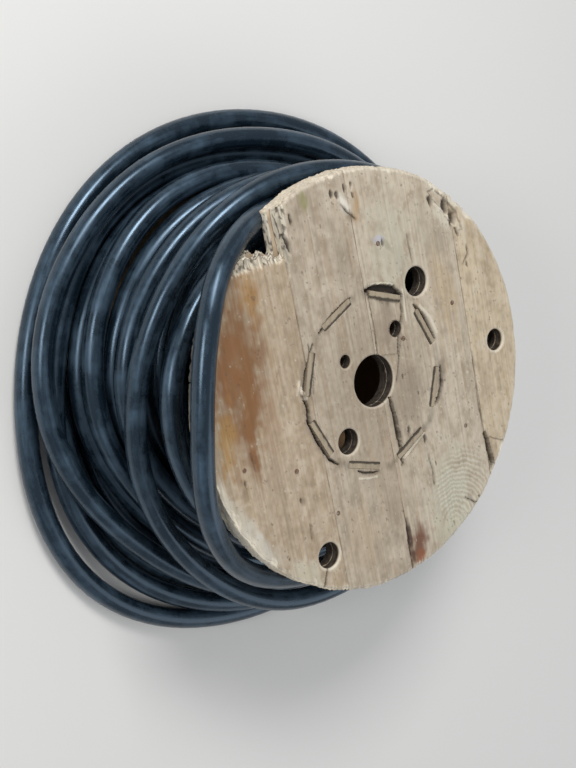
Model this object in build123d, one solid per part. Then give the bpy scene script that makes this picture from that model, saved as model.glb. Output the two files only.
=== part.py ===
"""A small wooden cable drum that stands on one flange, with heavy cable wound loosely round it.

Each flange is two plies of nailed boards, the face ply running across the back ply.  Eight sawn
staves make the barrel.  Their tenons pass through slots in both flanges and end flush with the
faces.  One board of the top flange has lost its end, so the cable shows through the break.

Millimetres, +Z up along the arbor axis, origin at the centre of the lower flange's outer face.
"""
from build123d import *
import os
from math import asin, cos, degrees, radians, sin, tan

os.makedirs("parts", exist_ok=True)

# Flanges
FLANGE_RADIUS = 152.5
PLY_THICKNESS = 8.0
RIM_WEAR = 1.0
GRAIN_ANGLE = 14.0
LAST_BOARD_WIDTH = 51.5
JOINT_GAP = 0.5

# Barrel
TRAVERSE = 120.0
STAVE_COUNT = 8
STAVE_THICKNESS = 12.0
BARREL_APOTHEM = 67.0
STAVE_GAP = 0.4
TENON_WIDTH = 30.0
TENON_THICKNESS = 5.0
TENON_CLEARANCE = 0.3

# How far the board joints stay from the tenon slots, and how far inside the ring of slots one joint runs
FACE_SLOT_MARGIN = 2.6
BACK_SLOT_MARGIN = 2.2
FIRST_JOINT_INSET = 3.0

# Holes: their diameters, their directions in degrees, and the wood between them and what they lie beside
ARBOR_DIAMETER = 38.0
OUTER_DRIVE_DIAMETER = 22.0
OUTER_DRIVE_OFFSET = 14.0
INNER_DRIVE_DIAMETER = 19.0
INNER_DRIVE_OFFSET = 7.0
OUTER_DRIVE_ANGLE = 150.0
INNER_DRIVE_ANGLE = -30.0
OUTER_PEG_DIAMETER = 12.0
OUTER_PEG_OFFSET = 23.0
OUTER_PEG_ANGLE = 150.0
INNER_PEG_DIAMETER = 10.0
INNER_PEG_OFFSET = 12.5
INNER_PEG_ANGLE = -120.0
SIDE_TIE_DIAMETER = 17.0
SIDE_TIE_ANGLE = 100.0
LOW_TIE_DIAMETER = 19.0
LOW_TIE_OFFSET = 12.0
TIE_FROM_RIM = 24.0

# The break at the end of the first face board: distance from its joint, and depth of the lost wood
BREAK_PROFILE = ((0, 32), (4, 37), (9, 30), (15, 32), (20, 27), (26, 30), (31, 25), (42, 27))
BACK_BREAK_INSET = 3.0

# Cable
CABLE_DIAMETER = 16.0
CABLE_CLEARANCE = 0.3
TOP_SLACK = 4.0
TURN_FLAT = 6.6
GROOVE_LEVEL = 2.0
FLOOR_TURNS = 2
FLOOR_TURN_PITCH = 21.0
SIDE_TURNS = 5
TOP_TURNS = 4
TOP_TURN_INSET = 12.0

flange_thickness = 2 * PLY_THICKNESS
traverse_top = flange_thickness + TRAVERSE
drum_height = traverse_top + flange_thickness
stave_pitch = 360.0 / STAVE_COUNT
half_pitch = radians(stave_pitch / 2)
first_stave_angle = GRAIN_ANGLE - stave_pitch / 2
inner_apothem = BARREL_APOTHEM - STAVE_THICKNESS
tenon_middle = (BARREL_APOTHEM + inner_apothem) / 2
slot_thickness = TENON_THICKNESS + 2 * TENON_CLEARANCE
slot_width = TENON_WIDTH + 2 * TENON_CLEARANCE
cutter_height = 2 * drum_height

# The corners of the first slot that lie nearest to the grain line and nearest to the middle back board
slot_to_grain = (tenon_middle - slot_thickness / 2) * sin(half_pitch) - slot_width / 2 * cos(half_pitch)
slot_to_cross = (tenon_middle - slot_thickness / 2) * cos(half_pitch) - slot_width / 2 * sin(half_pitch)

first_joint = FIRST_JOINT_INSET - tenon_middle
face_joints = (first_joint, slot_to_grain - FACE_SLOT_MARGIN, FLANGE_RADIUS - LAST_BOARD_WIDTH)
back_joints = (BACK_SLOT_MARGIN - slot_to_cross, slot_to_cross - BACK_SLOT_MARGIN)
tie_distance = FLANGE_RADIUS - TIE_FROM_RIM
low_tie_angle = GRAIN_ANGLE + degrees(asin((first_joint - LOW_TIE_OFFSET) / tie_distance))

# Each hole as its distance from the arbor axis, its direction and its diameter
arbor_hole = (0, 0, ARBOR_DIAMETER)
outer_drive_hole = (BARREL_APOTHEM + OUTER_DRIVE_OFFSET, OUTER_DRIVE_ANGLE, OUTER_DRIVE_DIAMETER)
inner_drive_hole = (inner_apothem - INNER_DRIVE_OFFSET, INNER_DRIVE_ANGLE, INNER_DRIVE_DIAMETER)
outer_peg_hole = (ARBOR_DIAMETER / 2 + OUTER_PEG_OFFSET, OUTER_PEG_ANGLE, OUTER_PEG_DIAMETER)
inner_peg_hole = (ARBOR_DIAMETER / 2 + INNER_PEG_OFFSET, INNER_PEG_ANGLE, INNER_PEG_DIAMETER)
side_tie_hole = (tie_distance, SIDE_TIE_ANGLE, SIDE_TIE_DIAMETER)
low_tie_hole = (tie_distance, low_tie_angle, LOW_TIE_DIAMETER)
base_holes = [arbor_hole, outer_drive_hole, inner_drive_hole]
top_holes = [*base_holes, outer_peg_hole, inner_peg_hole, side_tie_hole, low_tie_hole]


def polar(distance, angle):
    """The point at a distance from the arbor axis, in a direction in degrees."""
    return distance * cos(radians(angle)), distance * sin(radians(angle))


def drilled(hole):
    """A cutter for one round hole through a flange."""
    distance, angle, diameter = hole
    x, y = polar(distance, angle)
    return Pos(x, y, 0) * Cylinder(diameter / 2, cutter_height)


def tenon_slots():
    """Cutters for the slots that the stave tenons pass through."""
    slot = Box(slot_thickness, slot_width, cutter_height)
    return [Rot(0, 0, first_stave_angle + i * stave_pitch) * Pos(tenon_middle, 0, 0) * slot
            for i in range(STAVE_COUNT)]


def plank_break(inset):
    """A cutter for the lost end of the first face board, its ragged edge moved in by an inset."""
    board_end = -(FLANGE_RADIUS**2 - first_joint**2) ** 0.5
    ragged = [(board_end + depth - inset, first_joint - inset - across) for across, depth in BREAK_PROFILE]
    outside = board_end - FLANGE_RADIUS / 4
    corners = [*ragged, (outside, ragged[-1][1]), (outside, ragged[0][1])]
    cut = extrude(make_face(Polyline(*corners, close=True)), cutter_height)
    return Rot(0, 0, GRAIN_ANGLE) * Pos(0, 0, -cutter_height / 2) * cut


def ply_boards(disc, joints, turn):
    """Saws one ply's disc into boards at the joints, which lie at distances from the axis."""
    edges = [-FLANGE_RADIUS - JOINT_GAP, *joints, FLANGE_RADIUS + JOINT_GAP]
    boards = []
    for low, high in zip(edges, edges[1:]):
        strip = Box(3 * FLANGE_RADIUS, high - low - JOINT_GAP, cutter_height)
        boards.append(disc & Rot(0, 0, turn) * Pos(0, (low + high) / 2, 0) * strip)
    return boards


def flange(holes, broken):
    """Both plies of a flange, its back face at z = 0 and its outer face up."""
    cutters = [drilled(hole) for hole in holes] + tenon_slots()
    blank = Pos(0, 0, PLY_THICKNESS / 2) * Cylinder(FLANGE_RADIUS, PLY_THICKNESS)
    back = blank - cutters
    face = Pos(0, 0, PLY_THICKNESS) * chamfer(blank.edges().sort_by(Axis.Z)[-1], RIM_WEAR) - cutters
    if broken:
        back -= plank_break(BACK_BREAK_INSET)
        face -= plank_break(0)
    face_boards = ply_boards(face, face_joints, GRAIN_ANGLE)
    back_boards = ply_boards(back, back_joints, GRAIN_ANGLE + 90)
    return face_boards, back_boards


def stave():
    """One stave of the barrel along +X, standing from the lower flange's face to the upper's."""
    outer = BARREL_APOTHEM * tan(half_pitch) - STAVE_GAP / 2
    inner = inner_apothem * tan(half_pitch) - STAVE_GAP / 2
    section = make_face(Polyline((BARREL_APOTHEM, -outer), (BARREL_APOTHEM, outer),
                                 (inner_apothem, inner), (inner_apothem, -inner), close=True))
    body = Pos(0, 0, flange_thickness) * extrude(section, TRAVERSE)
    tenons = Pos(tenon_middle, 0, drum_height / 2) * Box(TENON_THICKNESS, TENON_WIDTH, drum_height)
    return body + tenons


def cable_coil():
    """The wound cable as one turned solid.  Each turn shows as a rib with a flat and two slopes."""
    radius = CABLE_DIAMETER / 2
    bore = BARREL_APOTHEM / cos(half_pitch) + CABLE_CLEARANCE
    bed = flange_thickness + CABLE_CLEARANCE
    rim = FLANGE_RADIUS + CABLE_CLEARANCE
    outermost = rim + radius + (FLOOR_TURNS - 1) * FLOOR_TURN_PITCH

    # The side bulges: the turns stay wide for most of the height and draw in under the top flange
    top = traverse_top - TOP_SLACK - radius
    top_reach = FLANGE_RADIUS - TOP_TURN_INSET
    turns = [Vector(outermost, radius)]
    for share in [i / SIDE_TURNS for i in range(1, SIDE_TURNS + 1)]:
        turns.append(Vector(outermost - (outermost - top_reach) * share**2, radius + (top - radius) * share))
    top_pitch = (top_reach - bore) / TOP_TURNS
    turns += [Vector(top_reach - i * top_pitch, top) for i in range(1, TOP_TURNS)]
    last = Vector(bore, top)

    outline = [Vector(bore, bed), Vector(rim, bed), Vector(rim, 0), Vector(outermost + TURN_FLAT / 2, 0)]
    before = Vector(outermost, 0)
    for turn, after in zip(turns, turns[1:] + [last]):
        along = (after - before).normalized()
        outward = Vector(along.Y, -along.X)
        groove = (after - turn).normalized()
        outline.append(turn + outward * radius - along * TURN_FLAT / 2)
        outline.append(turn + outward * radius + along * TURN_FLAT / 2)
        outline.append((turn + after) / 2 + Vector(groove.Y, -groove.X) * GROOVE_LEVEL)
        before = turn
    outline[-1] = last
    return revolve(Plane.XZ * make_face(Polyline(*outline, close=True)), Axis.Z)


def write_boards(plies, name, place):
    """Writes the boards of a flange's two plies, each board as its own node."""
    for ply, boards in zip(("face", "back"), plies):
        for number, board in enumerate(boards, 1):
            export_step(place(board), f"parts/{name}_{ply}_board_{number}.step")


def at_top(board):
    """Puts a board of the upper flange on the barrel."""
    return Pos(0, 0, traverse_top) * board


def at_base(board):
    """Turns a board of the lower flange over, and round by one stave to meet the slots alike."""
    return Rot(0, 0, stave_pitch) * Pos(0, 0, flange_thickness) * mirror(board, about=Plane.XY)


write_boards(flange(top_holes, broken=True), "top", at_top)
write_boards(flange(base_holes, broken=False), "base", at_base)
for number in range(STAVE_COUNT):
    placed = Rot(0, 0, first_stave_angle + number * stave_pitch) * stave()
    export_step(placed, f"parts/barrel_stave_{number + 1}.step")
export_step(cable_coil(), "parts/cable_coil.step")
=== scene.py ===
# %% [markdown]
# # A weathered wooden cable drum
#
# The drum is two nailed board flanges on a barrel of eight staves, and it carries one length of thick
# black rubber cable.  The measured solids come ready made.  Here we give them their worn surfaces and
# wind the cable.  We start with the ready solids, and keep the box that they fill.

# %% Load the measured drum
import bpy
import math
import numpy as np
from mathutils import Matrix, Vector, noise


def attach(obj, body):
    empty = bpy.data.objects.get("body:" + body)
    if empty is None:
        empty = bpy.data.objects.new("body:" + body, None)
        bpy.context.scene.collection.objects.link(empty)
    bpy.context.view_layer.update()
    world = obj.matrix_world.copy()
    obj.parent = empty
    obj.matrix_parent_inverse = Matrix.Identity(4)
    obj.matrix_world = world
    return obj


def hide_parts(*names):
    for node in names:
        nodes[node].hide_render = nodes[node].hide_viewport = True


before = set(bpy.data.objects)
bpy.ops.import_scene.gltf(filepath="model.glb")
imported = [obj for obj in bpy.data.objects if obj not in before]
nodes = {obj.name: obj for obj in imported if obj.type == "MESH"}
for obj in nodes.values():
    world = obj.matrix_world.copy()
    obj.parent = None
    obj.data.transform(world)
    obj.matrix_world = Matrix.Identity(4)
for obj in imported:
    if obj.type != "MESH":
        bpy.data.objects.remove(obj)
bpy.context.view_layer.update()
print("pieces of the drum:", len(nodes))


# %% [markdown]
# ## Small helpers
#
# Colours are easiest to read off as sRGB hex values, while Blender's shaders want linear numbers, so one
# function turns one into the other.  Another adds a shader node with its settings and links in one line.
# Nothing may stay selected from the step before, because an operator acts on everything that is selected.
# The last two read a mesh's numbers into an array, and copy what repeats.

# %% Helpers for colours and nodes
def linear(hex_code):
    """The linear colour of an sRGB hex value."""
    parts = [int(hex_code[i:i + 2], 16) / 255 for i in (0, 2, 4)]
    return [p / 12.92 if p <= 0.04045 else ((p + 0.055) / 1.055) ** 2.4 for p in parts] + [1.0]


def add_node(tree, kind, settings=None, **links):
    """Adds one shader node.  A link is named for its input socket and is a value or an output socket."""
    node = tree.nodes.new(kind)
    for name, value in (settings or {}).items():
        setattr(node, name, value)
    for name, value in links.items():
        socket = node.inputs[int(name[1:])] if name[0] == "n" and name[1:].isdigit() else node.inputs[name]
        if isinstance(value, bpy.types.NodeSocket):
            tree.links.new(value, socket)
        else:
            socket.default_value = value
    return node


def new_material(name):
    """An empty material, with its node tree and the shader that the rest is joined to."""
    material = bpy.data.materials.new(name)
    material.use_nodes = True
    tree = material.node_tree
    tree.nodes.clear()
    shader = add_node(tree, "ShaderNodeBsdfPrincipled")
    output = add_node(tree, "ShaderNodeOutputMaterial")
    tree.links.new(shader.outputs["BSDF"], output.inputs["Surface"])
    return material, tree, shader


# %% Helpers for pieces and meshes
def select_only(piece):
    """Selects one object and makes it the active one."""
    bpy.ops.object.select_all(action="DESELECT")
    piece.select_set(True)
    bpy.context.view_layer.objects.active = piece


def read_all(items, name, width=1, kind=float):
    """One value for every item of a mesh, such as each point's place, as an array."""
    values = np.zeros(len(items) * width, kind)
    items.foreach_get(name, values)
    return values.reshape(-1, width) if width > 1 else values


def with_copies(piece, count):
    """A list of a piece and copies of it, each with its own mesh."""
    pieces = [piece]
    for _ in range(count - 1):
        twin = piece.copy()
        twin.data = piece.data.copy()
        bpy.context.scene.collection.objects.link(twin)
        pieces.append(twin)
    return pieces


# %% [markdown]
# ## The camera
#
# The drum is seen from well above and to one side, with the camera rolled over, so that the drum's axis
# leans to the right of the picture.  The view comes first, because all that follows is judged in it.

# %% Camera
PICTURE_WIDTH = 576
PICTURE_HEIGHT = 768
SENSOR = 36.0
FOCAL_PIXELS = 1290.0
CAMERA_PLACE = Vector((-0.1165, -0.6233, 0.8285))
CAMERA_AIM = Vector((0.0060, -0.0300, 0.0900))
CAMERA_UP = Vector((-1.0, 0.0, 0.0))

back = (CAMERA_PLACE - CAMERA_AIM).normalized()
right = CAMERA_UP.cross(back).normalized()
up = back.cross(right)
camera_data = bpy.data.cameras.new("camera")
camera_data.sensor_width = SENSOR
camera_data.lens = FOCAL_PIXELS * SENSOR / max(PICTURE_WIDTH, PICTURE_HEIGHT)
camera_data.clip_start = 0.05
camera_data.clip_end = 20
camera = bpy.data.objects.new("camera", camera_data)
bpy.context.scene.collection.objects.link(camera)
camera.matrix_world = Matrix.Translation(CAMERA_PLACE) @ Matrix((right, up, back)).transposed().to_4x4()
bpy.context.scene.camera = camera
print("camera distance, m:", round((CAMERA_PLACE - CAMERA_AIM).length, 3))


# %% [markdown]
# ## The cable's turns
#
# The cable is one flexible length of 16 mm.  It is wound neatly next to the barrel.  Further out the turns
# have sprung loose: they fan out on one side, cross each other, and the last ones lie on the floor
# around the lower flange.  One curve could be drawn by hand, point by point, but a coil is easier to
# think of in slices: we cut it by a half plane every nine degrees, and in each slice a turn is only a
# circle with a distance from the axis and a height.  The neat turns need one such pair each.  The loose
# ones get eight pairs each, one every 45 degrees, starting at the right.

# %% Where the turns want to lie, in millimetres
CABLE = 16.0
SLICES = 40
MARKS = 8
NEAT_TURNS = (
    [(82.5, height) for height in (25, 42, 59, 76, 93, 110)]
    + [(102, height) for height in (122, 103, 84, 65, 46, 27)]
    + [(120, height) for height in (30, 50, 71)]
)
LOOSE_TURNS = [
    [(121, 88), (122, 95), (124, 99), (127, 100), (143, 104), (136, 92), (127, 84), (126, 86)],
    [(130, 94), (131, 100), (131, 106), (153, 140), (154, 158), (163, 130), (149, 101), (143, 104)],
    [(140, 122), (146, 124), (147, 124), (155, 112), (157, 86), (164, 64), (181, 66), (168, 80)],
    [(146, 78), (145, 84), (146, 90), (152, 74), (155, 66), (134, 58), (126, 58), (132, 60)],
    [(140, 60), (142, 66), (146, 74), (156, 56), (155, 46), (138, 42), (136, 42), (136, 44)],
    [(150, 52), (148, 54), (150, 58), (172, 50), (170, 46), (150, 44), (152, 46), (152, 56)],
    [(152, 36), (148, 38), (150, 42), (174, 30), (176, 27), (157, 30), (157, 30), (156, 36)],
    [(168, 40), (164, 40), (166, 40), (188, 26), (200, 24), (174, 28), (172, 40), (172, 44)],
    [(162, 25), (161, 12), (162, 8.5), (161, 8.5), (161, 8.5), (162, 8.5), (161, 8.5), (161, 8.5)],
    [(161, 8.5), (162, 14), (163, 24), (178, 12), (178, 8.5), (178, 8.5), (177, 8.5), (177, 8.5)],
    [(178, 8.5), (170, 24), (165, 38), (184, 24), (187, 23), (192, 8.5), (186, 12), (177, 24)],
    [(170, 25), (176, 14), (178, 9), (188, 8.5), (195, 8.5), (211, 8.5), (194, 8.5), (193, 8.5)],
]


# %% The wished path of the whole cable
def wished_path():
    """The wished distance and height in each slice along the cable, as a smooth line through the marks."""
    marks = []
    for number, (distance, height) in enumerate(NEAT_TURNS):
        following = NEAT_TURNS[number + 1] if number + 1 < len(NEAT_TURNS) else LOOSE_TURNS[0][0]
        for mark in range(MARKS):
            share = max(0.0, (mark - MARKS / 2) / (MARKS / 2))
            marks.append((distance + (following[0] - distance) * share,
                          height + (following[1] - height) * share))
    marks = np.array(marks + [pair for turn in LOOSE_TURNS for pair in turn], float)
    per_mark = SLICES // MARKS
    padded = np.vstack([2 * marks[0] - marks[1], marks,
                        2 * marks[-1] - marks[-2], 3 * marks[-1] - 2 * marks[-2]])
    along = np.arange((len(marks) - 1) * per_mark + 1) / per_mark
    start = np.minimum(along.astype(int), len(marks) - 2)
    share = (along - start)[:, None]
    a, b, c, d = (padded[start + i] for i in range(4))
    return 0.5 * (2 * b + (c - a) * share + (2 * a - 5 * b + 4 * c - d) * share**2
                  + (3 * b - a - 3 * c + d) * share**3)


wished = wished_path()
print("turns:", round(len(wished) / SLICES, 1))


# %% [markdown]
# ## One turn climbs out
#
# Where the end of the first board has broken away, one turn has come up through the break.  It lies over
# the flange's worn rim for a quarter of a turn and drops back beside it.  A pair every 45 degrees is too
# coarse for that climb, so this stretch of the second loose turn gets a pair in every slice.

# %% The stretch that lies over the rim
CLIMBING_TURN = len(NEAT_TURNS) + 1
CLIMB_START = 10
CLIMB = [
    (130, 104), (131, 108), (134.5, 113), (139, 119.5), (145.5, 127.5), (152, 137.5), (157.5, 147.5),
    (159.5, 154), (157.5, 158), (155.5, 158.5), (155, 158.5), (156.5, 157.5), (160, 154.5), (163, 148.5),
    (164, 140.5), (163.5, 131.5), (161, 122.5), (157.5, 114.5), (154, 108), (151, 103.5), (149, 101),
]
first = CLIMBING_TURN * SLICES + CLIMB_START
wished[first:first + len(CLIMB)] = CLIMB
print("slices of the climb:", len(CLIMB))


# %% [markdown]
# ## Settling the turns
#
# As drawn, some of those circles overlap, and some sink into the wood.  A physics simulation of 20 m
# of cable is slow and hard to steer, so we settle the slices instead.  In every round, turns that are
# too close push each other apart, the barrel, the flanges and the floor push them out, and the pushes
# are smoothed along the cable, which is stiff.  A weak pull back to the hand-drawn line keeps the coil's
# look, but it leaves some turns up to 6 mm inside each other.  So a second stage lets go of that line,
# asks for a little more room, and only keeps the cable inside the box that it may fill.

# %% What the turns settle against
FLANGE_RADIUS = 152.5
BASE_TOP = 16.0
TOP_UNDERSIDE = 136.0
DRUM_HEIGHT = 152.0
BARREL_APOTHEM = 67.0
FIRST_STAVE = -8.5
HIGHEST = 158.5
FURTHEST = 202.6
# Two stages: rounds, the spacing that turns want, the share of an overlap that a round mends, how strongly
# the pushes are smoothed along the cable, and whether the stage lets go of the drawn line
STAGES = ((500, CABLE + 0.2, 0.35, 0.5, False), (500, 16.8, 0.30, 0.2, True))
NEAT_PULL = 0.01
LOOSE_PULL = 0.05
# Slices in which the upper flange is broken or worn, and how far its wood reaches there
BROKEN_SLICES = {15: 134.0, 16: 149.5}
WORN_SLICES = {17: 150.5, 18: 150.0, 19: 150.0, 20: 150.0, 21: 150.5, 22: 151.0}

angles = np.radians(90 + 360 / SLICES * np.arange(len(wished)))
turns = math.ceil(len(wished) / SLICES)
spare = turns * SLICES - len(wished)
far_away = 1e4 + 100 * np.arange(spare)[:, None] + np.zeros((spare, 2))
pull = np.where(np.arange(len(wished)) < len(NEAT_TURNS) * SLICES, NEAT_PULL, LOOSE_PULL)[:, None]
half_facet = math.pi / MARKS
facet_angle = (angles - math.radians(FIRST_STAVE) + half_facet) % (2 * half_facet) - half_facet
closest = BARREL_APOTHEM / np.cos(facet_angle) + CABLE / 2 + 0.2
reach = CABLE / 2 + 0.15
same_turn = np.arange(turns)
base_rim = np.full(len(wished), FLANGE_RADIUS)
top_rim = base_rim.copy()
for slice_number, rim_reach in {**BROKEN_SLICES, **WORN_SLICES}.items():
    top_rim[slice_number::SLICES] = rim_reach


# %% Settle the turns
def clear_of_flange(distance, height, low, high, rim):
    """Moves the slices' circles out of a flange, which is a disc from one height to another."""
    near_distance = np.minimum(distance, rim)
    near_height = np.clip(height, low, high)
    out, above = distance - near_distance, height - near_height
    gap = np.hypot(out, above)
    inside = gap < 1e-6
    stretch = np.where((gap < reach) & ~inside, reach / np.maximum(gap, 1e-6), 1)
    distance = np.where(inside, distance, near_distance + out * stretch)
    height = np.where(inside, height, near_height + above * stretch)
    exit_height = high + reach if low < 0 else low - reach
    sideways = rim + reach - distance < abs(exit_height - height)
    return (np.where(inside & sideways, rim + reach, distance),
            np.where(inside & ~sideways, exit_height, height))


widest = FURTHEST / np.maximum(np.abs(np.cos(angles)), np.abs(np.sin(angles)))
pushed = np.zeros_like(wished)
for rounds, spacing, push_share, smoothing, is_free in STAGES:
    for _ in range(rounds):
        circles = np.vstack([wished + pushed, far_away]).reshape(turns, SLICES, 2)
        apart = circles[:, None] - circles[None]
        distances = np.sqrt((apart**2).sum(-1)) + 1e-9
        overlap = np.clip(spacing - distances, 0, None)
        overlap[same_turn, same_turn] = 0
        push = (apart / distances[..., None] * overlap[..., None]).sum(1) * push_share
        pushed = (pushed + push.reshape(-1, 2)[:len(wished)]) * (1 if is_free else 1 - pull)
        pushed[1:-1] = pushed[1:-1] * (1 - smoothing) + (pushed[:-2] + pushed[2:]) * smoothing / 2
        distance, height = (wished + pushed).T
        height = np.maximum(height, reach)
        if is_free:
            height = np.minimum(height, HIGHEST)
            distance = np.minimum(distance, widest)
        distance = np.maximum(distance, closest)
        distance, height = clear_of_flange(distance, height, -20, BASE_TOP, base_rim)
        distance, height = clear_of_flange(distance, height, TOP_UNDERSIDE, DRUM_HEIGHT, top_rim)
        pushed = np.stack([distance, height], 1) - wished

line = np.stack([distance * np.cos(angles), distance * np.sin(angles), height], 1) / 1000


# %% [markdown]
# ## The cable itself
#
# A curve with a round bevel is the right tool for a cable: it keeps one diameter along its whole length,
# and its middle line can be measured.  A NURBS spline through many points per turn stays smooth.

# %% The cable as a bevelled curve
cable_data = bpy.data.curves.new("loose_cable", "CURVE")
cable_data.dimensions = "3D"
spline = cable_data.splines.new("NURBS")
spline.points.add(len(line) - 1)
for point, place in zip(spline.points, line):
    point.co = (*place, 1)
    point.radius = CABLE / 2000
spline.order_u = 3
spline.use_endpoint_u = True
spline.resolution_u = 3
cable_data.bevel_depth = 1.0
cable_data.bevel_resolution = 6
cable_data.use_fill_caps = True
cable = bpy.data.objects.new("loose_cable", cable_data)
bpy.context.scene.collection.objects.link(cable)


# %% [markdown]
# ## The cut end
#
# The outer end is cut off square and lies on the floor behind the drum.  It shows what the cable is:
# three cores, each with its own insulation round a copper conductor.  One core is a cylinder whose end is
# inset and drawn out to bare the copper, and the other two are copies of it.

# %% Three cores at the cut end
CORE_RADIUS = 0.0030
CORE_BARED = 0.0045
COPPER_BARED = 0.0040
CORE_SPREAD = 1.17
INSULATION_THICKNESS = 0.0011
CORE_COLOURS = (("brown_core_insulation", "6a4028"), ("blue_core_insulation", "2f5f93"),
                ("green_core_insulation", "5f8a3a"))
bpy.ops.object.select_all(action="DESELECT")
bpy.ops.mesh.primitive_cylinder_add(vertices=20, radius=CORE_RADIUS, depth=2 * CORE_BARED, location=(0, 0, 0))
first_core = bpy.context.object
bpy.ops.object.mode_set(mode="EDIT")
bpy.ops.mesh.select_mode(type="FACE")
bpy.ops.mesh.select_all(action="DESELECT")
bpy.ops.object.mode_set(mode="OBJECT")
for face in first_core.data.polygons:
    face.select = face.normal.z > 0.9
bpy.ops.object.mode_set(mode="EDIT")
bpy.ops.mesh.inset(thickness=INSULATION_THICKNESS)
bpy.ops.mesh.extrude_region_move(TRANSFORM_OT_translate={"value": (0, 0, COPPER_BARED)})
bpy.ops.object.mode_set(mode="OBJECT")
cores = with_copies(first_core, len(CORE_COLOURS))
print("cores:", len(cores))


# %% Drawn copper, dull with tarnish
copper, tree, shader = new_material("dull_drawn_copper")
place = add_node(tree, "ShaderNodeTexCoord").outputs["Object"]
tarnish = add_node(tree, "ShaderNodeTexNoise", Vector=place, Scale=900, Detail=3)
mixed = add_node(tree, "ShaderNodeMix", {"data_type": "RGBA"}, n0=tarnish.outputs["Fac"], n6=linear("c98a5c"),
                 n7=linear("6e4630"))
tree.links.new(mixed.outputs[2], shader.inputs["Base Color"])
shader.inputs["Metallic"].default_value = 1.0
shader.inputs["Roughness"].default_value = 0.4


# %% Extruded rubber insulation in a colour for each core, with grime on it
for number, (core, (name, hex_code)) in enumerate(zip(cores, CORE_COLOURS)):
    insulation, tree, shader = new_material(name)
    place = add_node(tree, "ShaderNodeTexCoord").outputs["Object"]
    grime = add_node(tree, "ShaderNodeTexNoise", Vector=place, Scale=300, Detail=3)
    mixed = add_node(tree, "ShaderNodeMix", {"data_type": "RGBA"}, n0=grime.outputs["Fac"],
                     n6=linear(hex_code), n7=linear("3a3a38"))
    tree.links.new(mixed.outputs[2], shader.inputs["Base Color"])
    shader.inputs["Roughness"].default_value = 0.5
    core.data.materials.append(insulation)
    core.data.materials.append(copper)
    for face in core.data.polygons:
        is_copper = face.center.xy.length < CORE_RADIUS * 0.7 and face.center.z > CORE_BARED * 0.9
        face.material_index = int(is_copper)
    around = 2 * math.pi * number / len(CORE_COLOURS)
    aside = CORE_RADIUS * CORE_SPREAD
    core.data.transform(Matrix.Translation((aside * math.cos(around), aside * math.sin(around), 0)))
    core.select_set(True)


# %% Join the cores, set them at the cable's end, and hide the measured coil
bpy.ops.object.join()
cores = bpy.context.object
cores.name = "cable_cores"
outward = Vector(line[-1] - line[-2]).normalized()
cores.data.transform(Matrix.Translation(line[-1]) @ outward.to_track_quat("Z", "Y").to_matrix().to_4x4())
bpy.ops.object.shade_smooth_by_angle(angle=math.radians(40))

for piece in (cable, cores):
    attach(piece, "root")
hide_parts("cable_coil")


# %% [markdown]
# ## The cable's sheath
#
# The sheath is black chloroprene rubber, extruded smooth.  Handling has polished it to a satin gloss with a
# cold bluish sheen, and dragging has left dull grey streaks along it.  The streaks follow the cable,
# so their noise reads the curve's own UV map, which runs along the spline and round the bevel.

# %% Rubber sheath
# Streaks along the whole cable and round it, and patches of dust and grains of grit in a metre
STREAKS_PER_CABLE = 420
STREAKS_AROUND = 9
DUST_PATCHES = 48
GRIT = 1100
sheath, tree, shader = new_material("extruded_rubber_sheath")
coordinates = add_node(tree, "ShaderNodeTexCoord")
streak_place = add_node(tree, "ShaderNodeMapping", Vector=coordinates.outputs["UV"],
                        Scale=(STREAKS_PER_CABLE, STREAKS_AROUND, 1)).outputs[0]
streak = add_node(tree, "ShaderNodeTexNoise", Vector=streak_place, Scale=1, Detail=4, Roughness=0.6)
dust = add_node(tree, "ShaderNodeTexNoise", Vector=coordinates.outputs["Object"], Scale=DUST_PATCHES,
                Detail=6, Roughness=0.65)
both = add_node(tree, "ShaderNodeMath", {"operation": "MULTIPLY"}, n0=streak.outputs["Fac"],
                n1=dust.outputs["Fac"])
dusty = add_node(tree, "ShaderNodeMapRange", n0=both.outputs[0], n1=0.21, n2=0.40, n3=0.0, n4=0.68)
colour = add_node(tree, "ShaderNodeMix", {"data_type": "RGBA"}, n0=dusty.outputs[0], n6=linear("121c24"),
                  n7=linear("475968"))
grit = add_node(tree, "ShaderNodeTexNoise", Vector=coordinates.outputs["Object"], Scale=GRIT, Detail=2)
pale_grit = add_node(tree, "ShaderNodeMapRange", n0=grit.outputs["Fac"], n1=0.72, n2=0.80, n3=0.0, n4=0.4)
gritty = add_node(tree, "ShaderNodeMix", {"data_type": "RGBA"}, n0=pale_grit.outputs[0], n6=colour.outputs[2],
                  n7=linear("8b949a"))
tree.links.new(gritty.outputs[2], shader.inputs["Base Color"])
rough = add_node(tree, "ShaderNodeMapRange", n0=both.outputs[0], n1=0.2, n2=0.42, n3=0.25, n4=0.46)
tree.links.new(rough.outputs[0], shader.inputs["Roughness"])
bump = add_node(tree, "ShaderNodeBump", Height=streak.outputs["Fac"], Strength=0.10, Distance=0.0005)
tree.links.new(bump.outputs["Normal"], shader.inputs["Normal"])
shader.inputs["IOR"].default_value = 1.52
shader.inputs["Specular IOR Level"].default_value = 0.9
shader.inputs["Coat Weight"].default_value = 0.12
shader.inputs["Coat Roughness"].default_value = 0.25
shader.inputs["Specular Tint"].default_value = linear("b4d4f0")
cable_data.materials.append(sheath)
print("sheath:", sheath.name)


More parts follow.
